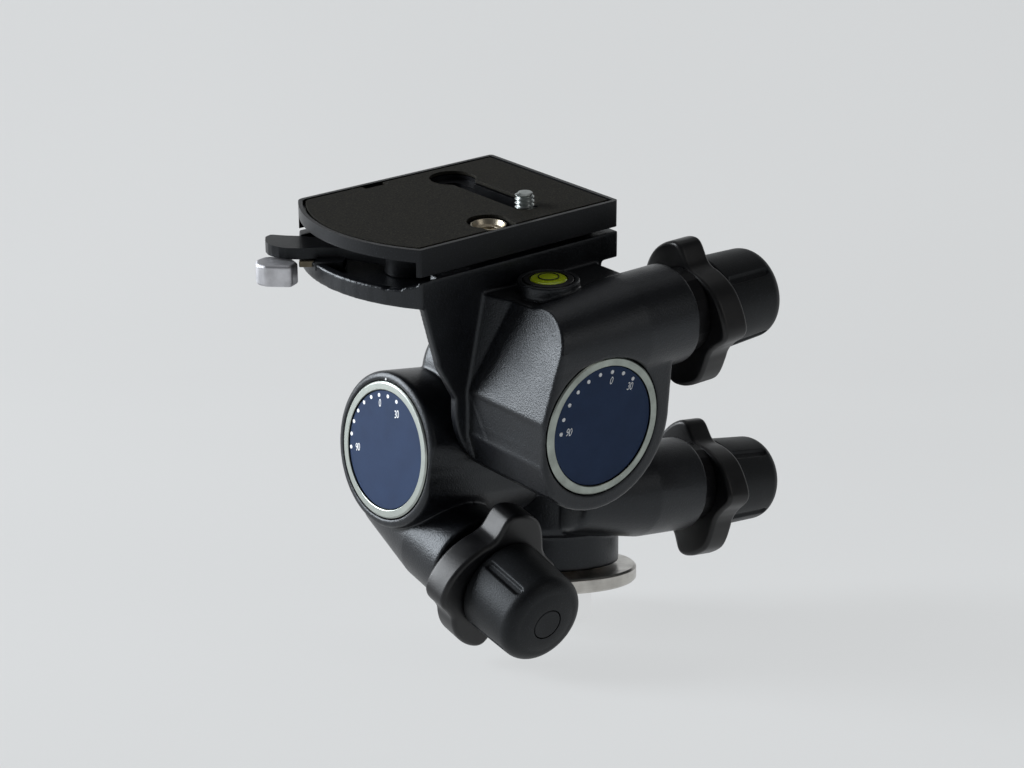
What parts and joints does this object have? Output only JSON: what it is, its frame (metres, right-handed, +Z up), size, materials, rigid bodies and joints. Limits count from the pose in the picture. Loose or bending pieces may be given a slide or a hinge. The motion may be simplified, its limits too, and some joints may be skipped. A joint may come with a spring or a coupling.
{
  "type": "geared tripod head",
  "caption": "Three-axis geared tripod head: worm drives with knobs and release levers turn pan and two tilts, under a quick-release camera plate.",
  "frame": {"origin": "centre of the base's underside, on the pan axis, where the tripod's stud enters", "axes": "+Z up along the pan axis, +X the way the pan knob points, the second tilt's dial faces -Y"},
  "size_m": [0.1836, 0.1201, 0.1488],
  "materials": {
    "black_casting": "fine textured black paint on die-cast alloy",
    "black_plastic": "matte black moulded plastic",
    "dial_blue": "printed navy face",
    "satin_ring": "satin anodised",
    "brushed_base": "turned and brushed",
    "bare_zinc": "tumbled bare casting",
    "dark_pad": "matte rubber and cork",
    "level_liquid": "clear yellow-green",
    "bronze": "machined bronze",
    "steel": "machined steel",
    "blackened_steel": "blackened machined steel"
  },
  "bodies": {
    "base": {"base_disc": "brushed_base", "thread_insert": "steel", "base_screw_1": "steel", "base_screw_2": "steel", "base_screw_3": "steel", "pan_spindle": "steel", "pan_gear": "bronze", "pan_gear_nut": "steel"},
    "pan": {"pan_housing": "black_casting", "pan_retainer": "bronze", "shaft_a": "steel", "shaft_a_bolt": "steel", "washer_a": "bronze", "gear_a": "bronze", "dial_disc_a": "dial_blue", "dial_ring_a": "satin_ring", "release_spring_2": "steel"},
    "first_tilt": {"tilt_housing": "black_casting", "shaft_b": "steel", "shaft_b_bolt": "steel", "washer_b": "bronze", "gear_b": "bronze", "dial_disc_b": "dial_blue", "dial_ring_b": "satin_ring", "release_spring_1": "steel"},
    "second_tilt": {"head_casting": "black_casting", "level_vial": "level_liquid", "level_bezel": "black_plastic", "clamp_pivot": "steel", "release_spring_3": "steel"},
    "clamp": {"clamp_lever": "black_casting"},
    "catch": {"safety_catch": "bare_zinc"},
    "plate": {"camera_plate": "black_casting", "plate_pad": "dark_pad", "spare_screw": "steel"},
    "mounting_screw": {"camera_screw": "steel"},
    "release_1": {"release_lever_1": "black_plastic", "eccentric_sleeve_1": "blackened_steel"},
    "drive_1": {"worm_1": "steel", "knob_1": "black_plastic", "knob_cap_1": "black_plastic"},
    "release_2": {"release_lever_2": "black_plastic", "eccentric_sleeve_2": "blackened_steel"},
    "drive_2": {"worm_2": "steel", "knob_2": "black_plastic", "knob_cap_2": "black_plastic"},
    "release_3": {"release_lever_3": "black_plastic", "eccentric_sleeve_3": "blackened_steel"},
    "drive_3": {"worm_3": "steel", "knob_3": "black_plastic", "knob_cap_3": "black_plastic"}
  },
  "joints": [
    {"name": "pan_turn", "type": "hinge", "parent": "base", "child": "pan", "pos_m": [0, 0, 0], "axis": [0, 0, 1], "continuous": true},
    {"name": "first_tilt_turn", "type": "hinge", "parent": "pan", "child": "first_tilt", "pos_m": [-0.044, -0.0102, 0.0513], "axis": [1, 0, 0], "range_deg": [-101, 19]},
    {"name": "second_tilt_turn", "type": "hinge", "parent": "first_tilt", "child": "second_tilt", "pos_m": [-0.0439, -0.0445, 0.06978], "axis": [0, -0.9789, -0.2045], "range_deg": [-40, 80]},
    {"name": "release_turn_1", "type": "hinge", "parent": "first_tilt", "child": "release_1", "pos_m": [-0.0568, -0.00128, 0.02923], "axis": [0, -0.9272, -0.3746], "range_deg": [0, 45], "stiffness_Nm_per_rad": 0.05, "springref_deg": -34.38},
    {"name": "knob_turn_1", "type": "hinge", "parent": "release_1", "child": "drive_1", "pos_m": [-0.0586, -0.00196, 0.0309], "axis": [0, -0.9272, -0.3746], "continuous": true},
    {"name": "release_turn_2", "type": "hinge", "parent": "pan", "child": "release_2", "pos_m": [0, -0.0238, 0.031], "axis": [1, 0, 0], "range_deg": [-45, 0], "stiffness_Nm_per_rad": 0.05, "springref_deg": 34.38},
    {"name": "knob_turn_2", "type": "hinge", "parent": "release_2", "child": "drive_2", "pos_m": [0, -0.022, 0.0292], "axis": [1, 0, 0], "continuous": true},
    {"name": "release_turn_3", "type": "hinge", "parent": "second_tilt", "child": "release_3", "pos_m": [-0.04795, -0.06966, 0.08848], "axis": [0.9854, -0.0348, 0.1666], "range_deg": [0, 45], "stiffness_Nm_per_rad": 0.05, "springref_deg": -34.38},
    {"name": "knob_turn_3", "type": "hinge", "parent": "release_3", "child": "drive_3", "pos_m": [-0.04764, -0.06753, 0.08711], "axis": [0.9854, -0.0348, 0.1666], "continuous": true},
    {"name": "clamp_turn", "type": "hinge", "parent": "second_tilt", "child": "clamp", "pos_m": [-0.07571, -0.02558, 0.11124], "axis": [-0.1702, -0.2015, 0.9646], "range_deg": [0, 35], "stiffness_Nm_per_rad": 0.05, "springref_deg": -28.65},
    {"name": "catch_turn", "type": "hinge", "parent": "clamp", "child": "catch", "pos_m": [-0.09432, 0.0114, 0.1105], "axis": [0.1702, 0.2015, -0.9646], "range_deg": [0, 20], "stiffness_Nm_per_rad": 0.01, "springref_deg": -28.65},
    {"name": "plate_lift", "type": "slide", "parent": "second_tilt", "child": "plate", "axis": [-0.1702, -0.2015, 0.9646], "range_m": [0, 0.03]},
    {"name": "mounting_screw_turn", "type": "hinge", "parent": "plate", "child": "mounting_screw", "pos_m": [-0.04111, -0.03728, 0.1232], "axis": [-0.1702, -0.2015, 0.9646], "continuous": true}
  ],
  "couplings": [
    {"joint": "knob_turn_1", "follows": "first_tilt_turn", "ratio": -36},
    {"joint": "knob_turn_2", "follows": "pan_turn", "ratio": 36},
    {"joint": "knob_turn_3", "follows": "second_tilt_turn", "ratio": -36}
  ]
}
